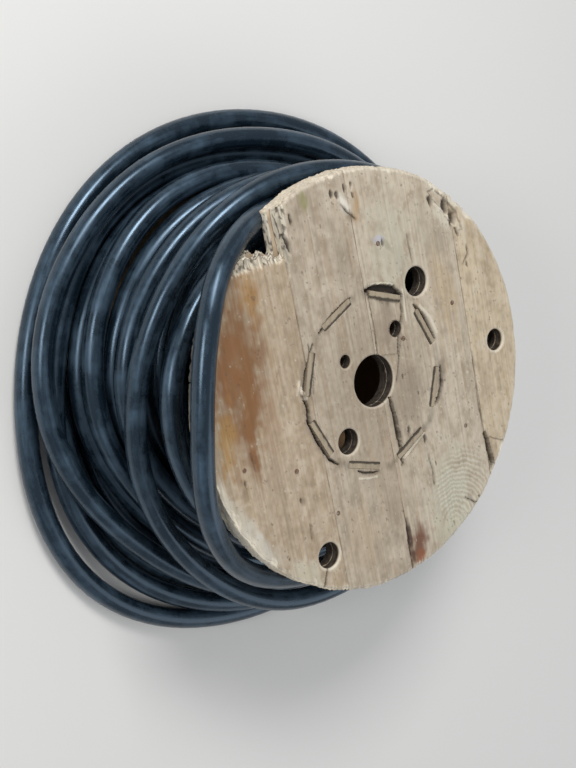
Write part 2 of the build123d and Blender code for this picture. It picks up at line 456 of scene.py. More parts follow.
# %% [markdown]
# ## Worn boards
#
# Each board of the upper flange starts as a copy of its measured solid, so that its size, place and holes
# are right.  A voxel remesh gives it an even skin of small faces, and then the wear goes in by moving
# points.  The skin has to be fine, because a crack is only a millimetre wide, and most of its faces would
# lie where nobody sees them.  Dissolving those faces takes minutes at this fineness, so the flat hidden
# sides are deleted, and each opening is filled with a few large faces in the same plane.
# The grain runs 14 degrees off the drum's own axis, and the remesh is made turned to the grain,
# which keeps the boards' long edges clean.

# %% The grain, and how fine the skin is
GRAIN = math.radians(14)
FACE_SKIN = 0.00065
BACK_SKIN = 0.0009
FACE_TOP = 152.0
# A back board shows no worn outer face, so its top is set higher than any of its points
BACK_TOP = 244.0
FROM_GRAIN = np.array([[math.cos(GRAIN), math.sin(GRAIN)], [-math.sin(GRAIN), math.cos(GRAIN)]])
RIM_ZONE = 11.0
BREAK_MIDDLE = np.array([-100.0, -100.0])
BREAK_ZONE = 42.0
FLAT_WITHIN = 0.01


def smooth(share):
    """An ease from 0 to 1."""
    share = np.clip(share, 0, 1)
    return share * share * (3 - 2 * share)


# %% Few large faces for the hidden sides
def plain_patch(mesh, side):
    """The faces of a board's hidden flat side, below or above, whose outline nowhere touches itself."""
    loop_edges = read_all(mesh.loops, "edge_index", kind=int)
    loop_points = read_all(mesh.loops, "vertex_index", kind=int)
    loop_starts = read_all(mesh.polygons, "loop_start", kind=int)
    edge_points = read_all(mesh.edges, "vertices", 2, int)
    points = read_all(mesh.vertices, "co", 3) * 1000
    middles = points[:, :2] @ FROM_GRAIN
    level = np.abs(points[:, 2] * side - (points[:, 2] * side).max()) < FLAT_WITHIN
    level &= np.linalg.norm(middles, axis=1) < FLANGE_RADIUS - RIM_ZONE
    level &= np.linalg.norm(middles - BREAK_MIDDLE, axis=1) > BREAK_ZONE
    hidden = np.logical_and.reduceat(level[loop_points], loop_starts)
    loop_faces = np.repeat(np.arange(len(loop_starts)), np.diff([*loop_starts, len(loop_points)]))
    while True:
        uses = np.bincount(loop_edges[hidden[loop_faces]], minlength=len(mesh.edges))
        outline = np.bincount(edge_points[uses == 1].ravel(), minlength=len(mesh.vertices))
        bridges = (uses == 0) & (outline[edge_points] > 0).all(axis=1)
        touching = outline > 2
        touching[edge_points[bridges].ravel()] = True
        meets = touching[loop_points] & hidden[loop_faces]
        if not meets.any():
            return hidden
        hidden[loop_faces[meets]] = False


def refill(piece, patch):
    """Deletes a flat patch of small faces and fills its outline with large ones."""
    bpy.ops.object.mode_set(mode="EDIT")
    bpy.ops.mesh.select_mode(type="FACE")
    bpy.ops.mesh.select_all(action="DESELECT")
    bpy.ops.object.mode_set(mode="OBJECT")
    piece.data.polygons.foreach_set("select", patch)
    bpy.ops.object.mode_set(mode="EDIT")
    bpy.ops.mesh.delete(type="FACE")
    bpy.ops.mesh.select_mode(type="EDGE")
    bpy.ops.mesh.select_all(action="DESELECT")
    bpy.ops.mesh.select_non_manifold(extend=False, use_wire=False, use_multi_face=False,
                                     use_non_contiguous=False, use_verts=False)
    bpy.ops.mesh.fill(use_beauty=False)
    bpy.ops.mesh.select_all(action="SELECT")
    bpy.ops.mesh.normals_make_consistent(inside=False)
    bpy.ops.object.mode_set(mode="OBJECT")


def is_closed(mesh):
    """Whether every edge of a mesh is shared by two faces."""
    loop_edges = read_all(mesh.loops, "edge_index", kind=int)
    return bool((np.bincount(loop_edges, minlength=len(mesh.edges)) == 2).all())


# %% A board's copy with a fine skin
def finely_skinned(name, skin, is_face):
    """A remeshed copy of a board, turned to the grain, with its hidden flat sides made of large faces."""
    piece = nodes[name].copy()
    piece.data = nodes[name].data.copy()
    piece.name = name + "_worn"
    bpy.context.scene.collection.objects.link(piece)
    for key in list(piece.keys()):
        del piece[key]
    select_only(piece)
    bpy.ops.object.mode_set(mode="EDIT")
    bpy.ops.mesh.select_all(action="SELECT")
    bpy.ops.mesh.remove_doubles(threshold=1e-6)
    bpy.ops.object.mode_set(mode="OBJECT")
    piece.data.transform(Matrix.Rotation(-GRAIN, 4, "Z"))
    remesh = piece.modifiers.new("fine_skin", "REMESH")
    remesh.mode = "VOXEL"
    remesh.voxel_size = skin
    bpy.ops.object.modifier_apply(modifier=remesh.name)

    whole = piece.data.copy()
    for side in (-1,) if is_face else (-1, 1):
        refill(piece, plain_patch(piece.data, side))
    if not is_closed(piece.data):
        print(name, "keeps its whole skin, because the fill left it open")
        piece.data = whole
    return piece


# %% [markdown]
# ## Where the wear is
#
# The features are listed as places on the flange in millimetres, with x down the picture and y to its
# right.  A crack is a bent line with a width and a depth, a peeled patch is an outline with a depth, and
# a pit is a round hollow.  Round the barrel the wood has been pressed in and torn along the tenons.

# %% Places of the wear
# Cracks: corners, half width, depth
CRACKS = [
    ([(14, 15), (27, 20), (41, 24), (53, 27), (64, 29)], 1.7, 7.0),
    ([(50, 116.5), (60, 121), (68, 124), (76, 126.5), (86, 127)], 2.2, 7.5),
    ([(120, -40), (130, -43), (139, -45), (150, -46)], 0.5, 3.0),
    ([(-65, -9), (-66.5, 0), (-66, 9), (-65, 17), (-60.5, 25)], 2.6, 3.2),
    ([(-53, 38), (-43.5, 48.5), (-27, 60)], 1.3, 3.0),
    ([(-6, 66.5), (8, 68), (17, 65.5), (22, 62)], 1.1, 3.0),
    ([(61, 27), (52, 39), (42, 51)], 0.7, 2.0),
    ([(64, -15), (66, -9), (67, -1), (66.5, 5)], 0.8, 1.8),
    ([(-30, -58), (-10, -64.5), (5, -66.5), (14, -62.5), (24, -61.5), (38, -53.5), (52, -42.5), (57, -34)],
     1.1, 3.0),
    ([(-37, -52), (-49, -40), (-60, -24)], 1.3, 2.5),
    ([(-59, -6), (-44, -2), (-29, 2), (-19, 3)], 0.45, 1.3),
    ([(-57, 25), (-48, 27), (-28, 24), (-13, 24), (2, 22)], 0.45, 1.3),
    ([(-125, -33), (-120, -27), (-115, -19)], 0.45, 1.2),
    ([(-30, -62), (-22, -60), (-10, -57), (4, -57)], 0.4, 1.0),
    ([(60, 55), (72, 60), (84, 62)], 0.4, 0.9),
    ([(106, 33), (124, 36), (146, 41)], 0.6, 1.6),
    ([(-14, 101), (23, 108), (50, 116)], 0.35, 1.2),
    ([(-96, 92), (-89, 94), (-82, 89)], 0.5, 1.0),
    ([(96, -60), (108, -58)], 0.3, 0.7),
    ([(-105, -83), (-99, -80), (-93, -78)], 0.9, 2.0),
    ([(-118, -79), (-112, -77)], 0.9, 1.8),
    ([(40, -112), (52, -108)], 0.3, 0.7),
    ([(-104, 30), (-84, 36)], 0.3, 0.7),
    ([(98, 96), (104, 108), (103, 114)], 0.5, 1.0),
]
# Peeled patches: outline, depth
PEELED = [
    ([(-62, -8), (-62, 26), (-44, 27), (-18, 25), (-18, 3), (-44, -2)], 1.1),
    ([(-135, 50), (-126, 60), (-115, 72), (-106, 82), (-108, 87), (-120, 81), (-130, 68), (-137, 57)], 0.9),
    ([(54, 122), (66, 125), (80, 128), (70, 140), (58, 139)], 0.8),
]
# Pits: place, radius, depth
PITS = [
    ((-129, 53), 3.6, 2.4), ((-124, 69), 5.0, 3.0), ((-115, 77), 5.5, 3.4), ((-106, 82), 3.0, 1.8),
    ((-132, -42), 2.4, 1.8), ((-131, -37), 2.0, 1.6), ((-136, -30), 2.2, 1.8), ((-139, -24), 1.6, 1.4),
    ((-131, -22), 1.8, 1.2), ((-82, 93), 2.4, 1.2), ((39, 35), 2.2, 1.6), ((45, 40), 1.6, 1.2),
    ((48, 52), 2.4, 1.8), ((-1, 28), 1.0, 0.9), ((13, 45), 1.2, 0.9), ((21, 47), 1.0, 0.8),
    ((30, 43), 0.9, 0.8), ((78, -68), 1.5, 1.0), ((68, 64), 1.5, 1.0), ((19, 63), 1.8, 1.6),
    ((-98, 7), 2.2, 1.2), ((60, -116), 1.6, 0.9), ((64, 28), 1.4, 1.2), ((118, -78), 1.2, 0.8),
    ((100, 112), 1.4, 1.0),
]
# Raised slivers and curls: corners, half width, height
SLIVERS = [
    ([(-64, 26.5), (-57, 28), (-42, 30.5)], 0.8, 0.8),
    ([(59.5, 30.5), (51, 40.5), (42.5, 50.5)], 0.9, 1.2),
    ([(0, -69), (7, -64)], 1.8, 2.0),
    ([(-5, -70), (4, -72)], 1.0, 1.4),
    ([(69.5, -14), (70.5, -6), (70, 3)], 0.8, 0.7),
    ([(-69, -4), (-70, 6), (-69, 16)], 0.9, 0.6),
    ([(-52, 44), (-44, 54), (-32, 62)], 1.3, 0.6),
    ([(-126, 58), (-119, 70), (-110, 80)], 0.9, 1.0),
]
# Chips out of the rim: direction in degrees, half width in degrees, depth
CHIPS = [
    (157, 6, 2.6), (149, 4, 3.6), (143, 4, 3.0), (-95, 16, 4.2), (-66, 5, 2.2), (-56, 5, 2.8), (-47, 6, 2.0),
    (-38, 4, 1.6), (58, 5, 2.6), (66, 3, 1.4), (-163, 3, 1.6), (-10, 3, 1.0), (-22, 2, 1.6), (100, 3, 0.8),
    (20, 4, 1.4), (176, 4, 1.2), (36, 3, 0.9),
]
# Holes: middle, radius, and how freshly their edge is broken
HOLES = [
    ((0, 0), 19.0, 0.5), ((-70.1, 40.5), 11.0, 0.5), ((41.6, -24.0), 9.5, 0.6), ((-36.4, 21.0), 6.0, 0.3),
    ((-15.8, -27.3), 5.0, 0.3), ((-22.3, 126.5), 8.5, 1.0), ((121.5, -41.9), 9.5, 1.0),
]
print("cracks:", len(CRACKS), " pits:", len(PITS), " chips:", len(CHIPS))


# %% [markdown]
# ## Measuring from a feature
#
# A point's wear follows from how far it is from each feature.  Two helpers measure that: one from a bent
# line and one from an outline, where inside counts as negative.  Noise that is stretched along the grain
# makes every edge ragged in the way that wood tears.

# %% Distances from a line and an outline
def distance_to(points, corners):
    """How far points lie from a line through corners, and how far along it, from 0 to 1."""
    corners = np.array(corners, float)
    best = np.full(len(points), 1e9)
    along = np.zeros(len(points))
    for number, (a, b) in enumerate(zip(corners, corners[1:])):
        side = b - a
        share = np.clip(((points - a) @ side) / (side @ side), 0, 1)
        away = np.linalg.norm(points - a - share[:, None] * side, axis=1)
        nearer = away < best
        best = np.where(nearer, away, best)
        along = np.where(nearer, (number + share) / (len(corners) - 1), along)
    return best, along


def outside_of(points, corners):
    """How far points lie outside an outline, with a minus sign inside it."""
    away, _ = distance_to(points, corners + corners[:1])
    inside = np.zeros(len(points), bool)
    for (x0, y0), (x1, y1) in zip(corners, corners[1:] + corners[:1]):
        crosses = (points[:, 1] < y0) != (points[:, 1] < y1)
        rise = (points[:, 1] - y0) / (y1 - y0) if y1 != y0 else 0
        inside ^= crosses & (points[:, 0] < x0 + (x1 - x0) * rise)
    return np.where(inside, -away, away)


# %% Grain noises: length along the grain and width across it in millimetres, and a seed
GRAIN_NOISES = {
    "ragged": (9, 1.5, 3.0), "broad": (26, 9, 9.0), "long_fibre": (9, 1.3, 5.0),
    "short_fibre": (7, 0.8, 6.0), "crumbs": (4, 2.2, 15.0), "wobble": (5, 2.2, 11.0),
    "fine_wobble": (2.2, 1.1, 12.0), "raised_grain": (45, 1.7, 1.0), "open_joint": (24, 1, 14.0),
    "fibres": (55, 1.3, 20.0), "bands": (90, 6, 21.0), "blotches": (14, 8, 22.0),
    "small_blotches": (5, 3.5, 23.0), "mottle": (3.6, 2.6, 24.0), "specks": (2.1, 1.4, 30.0),
}


def grain_noise(points, name):
    """A named noise that is long along the grain and narrow across it, from -1 to 1."""
    length, width, seed = GRAIN_NOISES[name]
    scaled = points / (length, width, width) + (0, 0, seed)
    return np.array([noise.noise(place) for place in scaled.tolist()])


# %% [markdown]
# ## Carving the wear
#
# Now the points move.  Each kind of wear is a function of its own, and they go over a board one after
# another: the rim loses chips and fibres, the broken end gets fibres of uneven length with a torn slope
# beside it, and the wood round the barrel is pressed in.  Then patches, cracks, pits and slivers go into
# the face.  On the way they also note, for its colour later, how dark the wood is from grime and from
# painted shade in its cracks, pits, holes and peeled edges, and how pale it is from freshly broken wood
# and from a painted highlight along the rim.

# %% A board's points before the wear
TENON_DIRECTIONS = np.radians(FIRST_STAVE + 45 * np.arange(MARKS))
JOINTS = (-58.0, 5.4, 101.0)
FACE_DEPTH = 1.2


class Wear:
    """A board's points in millimetres, with how dark from grime and painted shade, and how pale from freshly
    broken wood and a painted rim highlight, the wood is at each.
    """

    def __init__(self, piece, top):
        self.grained = read_all(piece.data.vertices, "co", 3) * 1000
        self.flat = self.grained[:, :2] @ FROM_GRAIN
        self.height = self.grained[:, 2].copy()
        self.top = top
        self.flatness = np.abs(read_all(piece.data.vertices, "normal", 3)[:, 2])
        self.radius = np.linalg.norm(self.flat, axis=1)
        self.direction = np.degrees(np.arctan2(self.flat[:, 1], self.flat[:, 0]))
        self.near_top = smooth(self.height - top + FACE_DEPTH)
        self.ragged = grain_noise(self.grained, "ragged")
        self.broad = grain_noise(self.grained, "broad")
        self.wobble = 0.5 * grain_noise(self.grained, "wobble") + 0.3 * grain_noise(self.grained, "fine_wobble")
        self.dirt_and_shade = np.zeros(len(self.flat))
        self.fresh_and_highlight = np.zeros(len(self.flat))

    def note_dark(self, share):
        """Notes grime and painted shade where there is more of it than before."""
        self.dirt_and_shade = np.maximum(self.dirt_and_shade, share)

    def freshen(self, share):
        """Notes freshly broken wood where it is fresher than before."""
        self.fresh_and_highlight = np.maximum(self.fresh_and_highlight, share)


# %% Wear the rim
RIM_WIDTH = 8
PALE_RIM = 3.6
ROUNDED_RIM = 2.6
ROUNDED_DEPTH = 0.9


def wear_rim(wear):
    """Chips the rim, and leaves fibres standing out where it cuts across the grain."""
    end_grain = np.abs(wear.grained[:, 0]) / FLANGE_RADIUS
    lost = 0.5 + 0.7 * wear.broad + wear.ragged * end_grain
    chipped = np.zeros(len(wear.flat))
    for middle, width, depth in CHIPS:
        away = np.abs((wear.direction - middle + 180) % 360 - 180) / width
        chipped += depth * smooth(1 - away) * (0.8 + 0.7 * wear.ragged) * (0.4 + 0.6 * wear.near_top)
    rim = smooth((RIM_WIDTH - (FLANGE_RADIUS - wear.radius)) / RIM_WIDTH)
    lost = np.clip(lost + chipped, -0.3, None) * rim
    wear.flat *= (1 - lost / np.maximum(wear.radius, 1))[:, None]
    wear.fresh_and_highlight += smooth(chipped / 2.5) * rim
    # A pale band all round the rim: worn, freshly broken wood, and a painted highlight along the edge.
    wear.fresh_and_highlight += 0.75 * smooth((wear.radius - FLANGE_RADIUS + PALE_RIM) / 2.4) * (0.6 + 0.7 * wear.ragged)
    rounded = smooth((wear.radius - FLANGE_RADIUS + ROUNDED_RIM) / ROUNDED_RIM)
    wear.height -= wear.near_top * rounded * ROUNDED_DEPTH


# %% Tear the broken end
BREAK_REACH = 34
FIBRE_LENGTH = 2.2
SLOPE_FROM = -92
SLOPE_LENGTH = 46
TORN_FROM = -104
TORN_SIDE = -106
TORN_SLOPE = 4.5


def tear_end(wear):
    """Gives the broken end fibres of uneven length, and the board beside it a torn slope."""
    x, y = wear.grained[:, 0], wear.grained[:, 1]
    in_break = np.linalg.norm(wear.flat - BREAK_MIDDLE, axis=1) < BREAK_REACH
    wall = in_break & (wear.flatness < 0.6) & (wear.radius < FLANGE_RADIUS - 2)
    fibre = grain_noise(wear.grained * (0.05, 1, 1), "long_fibre")
    fibre = fibre + 0.5 * grain_noise(wear.grained, "short_fibre")
    wear.flat += np.where(wall, fibre * FIBRE_LENGTH, 0)[:, None] * (math.cos(GRAIN), math.sin(GRAIN))
    wear.fresh_and_highlight = np.where(wall, 1.0, wear.fresh_and_highlight)
    to_rim = np.clip((SLOPE_FROM - x) / SLOPE_LENGTH, 0, 1)
    slope_width = 2.0 + 9.0 * to_rim + 1.5 * wear.ragged
    slope = smooth(1 - (y - JOINTS[0]) / slope_width) * (y > JOINTS[0]) * (to_rim > 0)
    slope *= smooth(to_rim * 12)
    torn_end = smooth((TORN_FROM - x + 3 * fibre) / 5) * (y < JOINTS[0]) * (y > TORN_SIDE)
    torn = np.maximum(slope, torn_end * 0.7) * wear.near_top
    wear.height -= torn * (TORN_SLOPE * 0.6 + 1.6 * fibre)
    wear.freshen(smooth(torn * 2.5) * (0.75 + 0.3 * wear.ragged))
    wear.note_dark(smooth(torn * 2) * smooth((0.1 - fibre) / 0.5) * 0.55)
    crumbs = 0.8 * smooth((grain_noise(wear.grained, "crumbs") - 0.12) / 0.2)
    wear.note_dark(crumbs * np.maximum(wall, smooth(torn * 2)))


# %% Press in the wood round the barrel
TENON_INSIDE = 58.2
PRESSED_IN = 0.2
TENON_MIDDLE = 61.0
# Half the thickness and half the width of a slot, and of the tenon in it
SLOT_HALVES = (2.8, 15.3)
TENON_HALVES = (2.5, 15.0)


def press_in(wear):
    """Presses in the wood round the barrel, raises its grain, and closes the slots on the tight tenons."""
    facing = (wear.flat @ np.array([np.cos(TENON_DIRECTIONS), np.sin(TENON_DIRECTIONS)])).max(axis=1)
    inner = smooth((TENON_INSIDE - facing + wear.wobble) / 1.6)
    relief = 0.16 * grain_noise(wear.grained, "raised_grain") + 0.22 * wear.broad + 0.10 * wear.wobble
    wear.height += wear.near_top * (relief - PRESSED_IN * inner)
    for turn in TENON_DIRECTIONS:
        outward = np.array([math.cos(turn), math.sin(turn)])
        sideways = np.array([-outward[1], outward[0]])
        deep, wide = wear.flat @ outward - TENON_MIDDLE, wear.flat @ sideways
        at_slot = (np.abs(deep) < SLOT_HALVES[0] + 0.5) & (np.abs(wide) < SLOT_HALVES[1] + 0.5)
        for along, axis, slot, tenon in zip((deep, wide), (outward, sideways), SLOT_HALVES, TENON_HALVES):
            wall = at_slot & (np.abs(along) > tenon - 0.2)
            move = np.sign(along) * (tenon + 0.04 - slot)
            wear.flat += np.where(wall, move, 0)[:, None] * axis
    ring = smooth(1 - np.abs(facing - TENON_INSIDE - 3 + 3 * wear.wobble) / 5)
    wear.note_dark(0.35 * ring * smooth(0.6 + wear.broad) * wear.near_top)


# %% Close the joints
JOINT_CLOSED = 0.22


def close_joints(wear):
    """Closes the joints along most of their length, because the boards have swollen."""
    is_open = smooth((grain_noise(wear.grained * (1, 0, 0), "open_joint") + 0.05) / 0.25)
    for joint in JOINTS:
        beside = wear.grained[:, 1] - joint
        close = np.where(np.abs(beside) < 0.7, -np.sign(beside) * JOINT_CLOSED * (1 - is_open), 0)
        wear.flat += close[:, None] * (-math.sin(GRAIN), math.cos(GRAIN))


# %% Peel patches and open cracks
def peel_and_crack(wear):
    """Peels the patches off the face and opens its cracks, painting their edges and insides dark with grime and
    painted shade.
    """
    for corners, depth in PEELED:
        outside = outside_of(wear.flat, corners)
        inside = smooth((0.4 - outside - 1.6 * wear.wobble) / 0.9) * wear.near_top
        edge = smooth(1 - np.abs(outside + 1.6 * wear.wobble) / 1.1) * wear.near_top
        wear.height -= depth * inside * (0.9 + 0.25 * wear.ragged)
        # A dark line along the patch's edge: grime and painted shade at the step.
        wear.note_dark(0.45 * edge)
    for corners, half_width, depth in CRACKS:
        away, along = distance_to(wear.flat, corners)
        width = half_width * (0.35 + 0.75 * np.sin(np.pi * np.clip(along, 0.02, 0.98)) ** 0.6)
        cut = smooth((width + 0.35 - away - wear.wobble * (0.4 + 0.5 * half_width)) / 0.7) * wear.near_top
        wear.height -= depth * cut
        # The crack's inside is painted dark, the more the deeper it is: grime and painted shade.
        wear.note_dark(cut * min(1.0, 0.5 + depth / 5))
        shade = smooth(1 - (away - width) / (1.2 + half_width)) * wear.near_top
        wear.note_dark(0.3 * shade)


# %% Sink pits and raise slivers
def pit_and_splinter(wear):
    """Sinks the pits, painted dark with grime and painted shade, and raises pale slivers and curls."""
    for place, wide, depth in PITS:
        away = np.linalg.norm((wear.flat - place) @ FROM_GRAIN.T * (0.75, 1.3), axis=1)
        hollow = smooth(1.5 - (away + 2.6 * wear.wobble + 1.3 * wear.ragged) / wide * 1.3) * wear.near_top
        wear.height -= depth * hollow
        # A pit is painted darker the deeper it is: grime and painted shade in the hollow.
        wear.note_dark(hollow * min(0.9, 0.4 + depth / 4))
    for corners, half_width, lift in SLIVERS:
        away, along = distance_to(wear.flat, corners)
        ridge = smooth((half_width + 0.4 - away - 0.8 * wear.wobble) / 0.9) * wear.near_top
        raised = np.sin(np.pi * np.clip(along, 0.05, 0.95))
        wear.height += lift * ridge * (0.7 + 0.6 * wear.ragged) * raised
        wear.freshen(0.6 * ridge)
        wear.dirt_and_shade *= 1 - 0.8 * ridge


# %% Wear the edges and walls of the holes
def wear_holes(wear):
    """Breaks the holes' edges pale, rounds them, and paints their walls near black as painted shade."""
    for place, hole_radius, strength in HOLES:
        from_edge = np.linalg.norm(wear.flat - place, axis=1) - hole_radius
        around = np.arctan2(wear.flat[:, 1] - place[1], wear.flat[:, 0] - place[0])
        lower_side = 0.65 + 0.35 * np.sin(around + 1.0)
        ring = smooth(1 - from_edge / (1.2 + 1.8 * strength) + 0.5 * wear.wobble) * wear.near_top
        wear.freshen(ring * (from_edge > -0.6) * strength * lower_side)
        wear.height -= 0.5 * smooth(1 - from_edge / 1.2) * wear.near_top
        # The walls inside a hole are painted near black: painted shade.
        inside = (from_edge < 0.3) & (wear.flatness < 0.7) & (wear.height < wear.top - 1.6)
        wear.dirt_and_shade = np.where(inside, np.maximum(wear.dirt_and_shade, 0.95 + 0.2 * wear.wobble), wear.dirt_and_shade)


# %% Carve one board
def carve(piece, top):
    """Wears a finely skinned board whose outer face is at a height, and returns what its colour needs."""
    wear = Wear(piece, top)
    for step in (wear_rim, tear_end, press_in, close_joints, peel_and_crack, pit_and_splinter, wear_holes):
        step(wear)
    piece.data.vertices.foreach_set("co", (np.column_stack([wear.flat, wear.height]) / 1000).ravel())
    return wear


# %% [markdown]
# ## Painting the weather
#
# The boards are sawn pine that has stood outdoors: beige grey where rain and light reach it, golden brown
# where it has soaked up rust and oil, grimy where it is pressed in round the barrel, and pale where it
# has just torn.  Painted shade darkens their slits, cracks, pits and holes, and a painted highlight
# lightens their rim.  We paint this into a colour attribute, point by point, because each stain has its own
# place and the skin is as fine as the picture.  What is finer than the skin comes from the shader.

# %% Places of the colours
BOARD_TONES = ("b8a58c", "b8a995", "c6b8a3", "cdbb9f")
# Stains, and ovals of painted shade: place, half length and half width, turn in degrees, colour, strength
STAINS_AND_PAINTED_SHADE = [
    ((-15, -122), (84, 32), 4, "846040", 0.92),
    ((2, -113), (52, 10), 8, "80562f", 0.70),
    ((-10, -130), (46, 9), 2, "8a5c34", 0.60),
    ((-66, -114), (24, 9), 12, "a98350", 0.60),
    ((30, -131), (28, 9), 4, "b08b52", 0.60),
    ((20, -94), (44, 9), 10, "a98b70", 0.45),
    ((-100, 62), (17, 8), 20, "8d7d6b", 0.45),
    ((-84, 24), (15, 7), 14, "94887a", 0.45),
    ((-88, -30), (22, 8), 14, "8f826f", 0.40),
    ((-40, -78), (24, 7), 14, "94816a", 0.40),
    ((96, 20), (20, 8), 14, "998770", 0.40),
    ((60, -92), (22, 8), 14, "97856f", 0.35),
    ((10, 118), (20, 7), 14, "a08d74", 0.40),
    ((84, -124), (30, 11), 38, "cac6b8", 0.65),
    ((110, -100), (26, 9), 44, "d0ccbf", 0.65),
    ((132, -62), (26, 10), 68, "cdc7b2", 0.55),
    ((-96, 14), (42, 24), 14, "c2bda9", 0.60),
    ((-110, 48), (30, 18), 30, "b9b09a", 0.40),
    ((-60, 70), (40, 14), 14, "b39a76", 0.45),
    ((96, 82), (42, 26), 14, "c0bda9", 0.65),
    ((126, 82), (22, 16), 50, "c4bfa6", 0.50),
    ((0, 4), (60, 56), 0, "94846f", 0.45),
    ((-38, 12), (20, 13), 8, "8c7a69", 0.55),
    ((10, 36), (34, 18), 10, "8f8070", 0.55),
    # The next five dark ovals are painted shade in the slits round the barrel.
    ((-62, 9), (6, 19), -8, "4f4034", 0.85),
    ((46, 42), (13, 7), -52, "6f6052", 0.55),
    ((2, 67), (20, 5), -8, "6c5c4d", 0.55),
    ((-6, -64), (24, 6), 10, "75654f", 0.55),
    ((36, -54), (24, 6), 38, "76675a", 0.50),
    ((70, -4), (10, 20), -8, "b1a391", 0.50),
    ((74, 20), (44, 18), 14, "b5a28a", 0.35),
    ((112, -10), (36, 24), 14, "bba78a", 0.45),
    ((-127, -66), (8, 6), 14, "8c8a58", 0.70),
    # A painted shadow along the pale torn patch on the next line.
    ((-119, -26), (9, 4), 40, "7f6c52", 0.60),
    ((-127, -31), (10, 5), 30, "eae3d4", 0.90),
    ((-118, 66), (13, 6), 55, "e0d7c4", 0.60),
    ((-108, 88), (9, 5), 70, "ddd2bd", 0.50),
    ((-124, -19), (14, 4), 8, "b08a5a", 0.60),
    ((-101, 2), (9, 3), 100, "b9bac8", 0.60),
    ((-96, 12), (9, 3), 40, "98917f", 0.60),
    ((66, -116), (9, 4), 8, "7d6b52", 0.60),
    ((78, -67), (4, 3), 0, "7a6a58", 0.55),
    ((127, 46), (20, 11), 9, "6f4630", 0.92),
    ((122, 38), (18, 2.8), 14, "3d2518", 0.85),
    ((138, 50), (9, 5), 14, "9a5b38", 0.60),
]
KNOT = np.array([118.0, 86.0])
KNOT_SEEN = np.array([88.0, 92.0])
KNOT_SIZE = 36.0
RING_SPACING = 3.6
# The pale of freshly broken wood and of the painted rim highlight, and the dark of grime and painted shade
FRESH_WOOD_AND_HIGHLIGHT = "e6dcc8"
DIRT_AND_SHADE = "2a211a"
# Where the rim is darkened to the cable's black, under the turn that lies over it
DARK_RIM_MIDDLE = -97.0
DARK_RIM_HALF_WIDTH = 24.0
DARK_RIM_FROM = 143.0
CABLE_BLACK = "1d2125"


# %% Paint one board
def blended(paint, share, hex_code):
    """Paint with a share of another colour over it."""
    return paint + np.clip(share, 0, 1)[:, None] * (np.array(linear(hex_code)[:3]) - paint)


def paint_board(piece, wear):
    """Paints a worn board's weather, with its painted shade and painted rim highlight, into its colour
    attribute.
    """
    flat, grained = wear.flat, wear.grained
    tones = np.array([linear(tone)[:3] for tone in BOARD_TONES])
    paint = tones[np.searchsorted(JOINTS, grained[:, 1])]
    fibres = grain_noise(grained, "fibres")
    bands = grain_noise(grained, "bands")
    blotch = grain_noise(grained, "blotches") + 0.5 * grain_noise(grained, "small_blotches")
    mottle = grain_noise(grained, "mottle")
    # Washes: what each follows, over what step it grows, how strong it gets, and its colour
    washes = [
        (fibres - 0.05, 0.5, 0.24, "85725c"), (-fibres - 0.1, 0.5, 0.14, "ded3c0"),
        (bands - 0.05, 0.4, 0.26, "9a8263"), (blotch - 0.05, 0.5, 0.32, "dccfba"),
        (-blotch - 0.05, 0.5, 0.32, "86765f"), (mottle - 0.05, 0.4, 0.14, "d8ccb8"),
        (-mottle - 0.05, 0.4, 0.17, "85755f"),
    ]
    for value, step, strength, hex_code in washes:
        paint = blended(paint, strength * smooth(value / step), hex_code)
    for place, (long, wide), turn, hex_code, strength in STAINS_AND_PAINTED_SHADE:
        turn = math.radians(turn)
        side = flat - place
        oval = np.hypot((side[:, 0] * math.cos(turn) + side[:, 1] * math.sin(turn)) / long,
                        (side[:, 1] * math.cos(turn) - side[:, 0] * math.sin(turn)) / wide)
        share = smooth((1.15 - oval + 0.55 * blotch + 0.14 * fibres) / 0.85)
        paint = blended(paint, strength * share, hex_code)
    rings = np.linalg.norm(flat - KNOT, axis=1) + 2.6 * wear.broad + 1.8 * wear.wobble
    waves = np.sin(2 * math.pi * rings / RING_SPACING)
    on_board = (grained[:, 1] > JOINTS[1]) & (grained[:, 1] < JOINTS[2])
    knot = smooth((1 - np.linalg.norm(flat - KNOT_SEEN, axis=1) / KNOT_SIZE) * 2.2) * on_board
    paint = blended(paint, 0.40 * knot * smooth(waves), "dcdbcb")
    paint = blended(paint, 0.26 * knot * smooth(-waves), "9b8f79")
    specks = grain_noise(grained, "specks") + 0.35 * blotch
    paint = blended(paint, 0.55 * smooth((specks - 0.60) / 0.2), "5d4e40")
    paint = blended(paint, 0.40 * smooth((-specks - 0.66) / 0.2), "e6dccb")
    # Pale freshly broken wood, with a painted highlight along the rim.
    paint = blended(paint, wear.fresh_and_highlight, FRESH_WOOD_AND_HIGHLIGHT)
    # Grime, and painted shade in the cracks, pits, holes and peeled edges.
    paint = blended(paint, wear.dirt_and_shade, DIRT_AND_SHADE)
    direction = np.degrees(np.arctan2(flat[:, 1], flat[:, 0]))
    # The rim is darkened to the cable's black where the climbing turn lies over it.
    dark_rim = smooth(1.2 - np.abs(direction - DARK_RIM_MIDDLE) / DARK_RIM_HALF_WIDTH + 0.3 * blotch)
    dark_rim *= smooth((np.linalg.norm(flat, axis=1) - DARK_RIM_FROM + 2 * wear.wobble) / 4)
    paint = blended(paint, 0.9 * dark_rim, CABLE_BLACK)
    colours = piece.data.attributes.new("paint", "FLOAT_COLOR", "POINT")
    with_alpha = np.column_stack([paint, np.ones(len(paint))]).astype(np.float32)
    colours.data.foreach_set("color", with_alpha.ravel())


